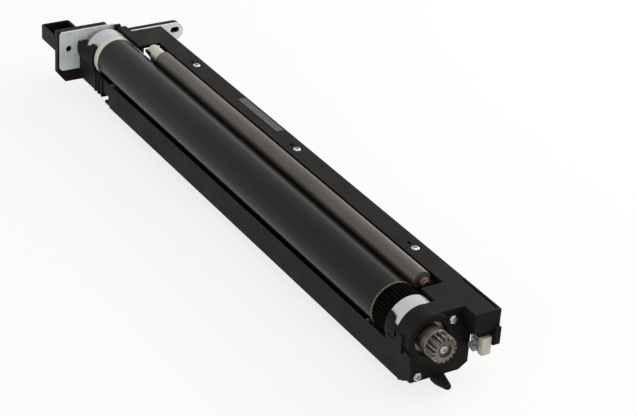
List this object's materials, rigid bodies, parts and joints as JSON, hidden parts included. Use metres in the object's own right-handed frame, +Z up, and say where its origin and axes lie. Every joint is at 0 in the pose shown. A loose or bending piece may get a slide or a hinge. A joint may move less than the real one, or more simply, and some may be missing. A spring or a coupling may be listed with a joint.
{
  "type": "printer drum unit",
  "caption": "Long drum unit with a coated drum, a charge roller beside it, a black trough, a toothed drive shaft and a slotted locating plate.",
  "frame": {"origin": "on the drum's axis, in the outer face of the drive end plate, inside the round bearing boss", "axes": "+X along the drum axis towards the drive pinion, +Y towards the rail over the charge roller, +Z up"},
  "size_m": [0.4713, 0.1008, 0.0517],
  "materials": {
    "black_plastic": "satin moulded",
    "drum_coating": "glossy photoconductor coating",
    "gear_plastic": "moulded",
    "white_plastic": "smooth moulded",
    "steel": "turned, lightly worn",
    "plated_steel": "dull zinc plated",
    "screw_steel": "bright plated",
    "roller_rubber": "smooth conductive rubber",
    "blade_rubber": "polyurethane",
    "felt": "dense felt",
    "label": "bare satin film",
    "clear_plastic": "smoky clear",
    "cream_plastic": "moulded",
    "copper_bush": "sintered"
  },
  "bodies": {
    "frame": {"end_plate_screw": "screw_steel", "lower_screw": "screw_steel", "front_bearing": "steel", "rear_bearing": "steel", "front_bearing_holder": "black_plastic", "drive_end_cover": "black_plastic", "main_frame": "black_plastic", "rail_cover": "black_plastic", "rail_screws": "screw_steel", "label_plate": "label", "charge_bush_front": "copper_bush", "charge_bush_rear": "cream_plastic", "cleaning_blade": "blade_rubber", "blade_holder": "plated_steel", "blade_screws": "screw_steel", "drum_felts": "felt", "rear_end_housing": "black_plastic", "locating_plate": "plated_steel", "rear_handle": "black_plastic", "rear_screws": "screw_steel", "connector_shell": "clear_plastic", "connector_face": "cream_plastic", "connector_contacts": "copper_bush", "connector_latch": "clear_plastic"},
    "drum": {"drum_tube": "drum_coating", "drive_flange": "gear_plastic", "drive_sleeve": "white_plastic", "rear_flange": "white_plastic", "drum_shaft": "steel", "drive_pinion": "steel", "pinion_screw": "screw_steel"},
    "charge": {"charge_roller": "roller_rubber", "charge_roller_core": "steel"},
    "idler": {"idler_gear": "gear_plastic"},
    "auger": {"auger_gear": "gear_plastic", "waste_auger": "gear_plastic"}
  },
  "joints": [
    {"name": "drum_spin", "type": "hinge", "parent": "frame", "child": "drum", "pos_m": [-0.2, 0, 0], "axis": [1, 0, 0], "continuous": true},
    {"name": "charge_spin", "type": "hinge", "parent": "frame", "child": "charge", "pos_m": [-0.2, 0.01707, 0.0124], "axis": [1, 0, 0], "continuous": true},
    {"name": "idler_spin", "type": "hinge", "parent": "frame", "child": "idler", "pos_m": [-0.03, 0.01536, -0.01432], "axis": [1, 0, 0], "continuous": true},
    {"name": "auger_spin", "type": "hinge", "parent": "frame", "child": "auger", "pos_m": [-0.2, 0.02705, -0.01702], "axis": [1, 0, 0], "continuous": true}
  ],
  "couplings": [
    {"joint": "charge_spin", "follows": "drum_spin", "ratio": -2.5862},
    {"joint": "idler_spin", "follows": "drum_spin", "ratio": -2.1111},
    {"joint": "auger_spin", "follows": "drum_spin", "ratio": 2.7143}
  ]
}
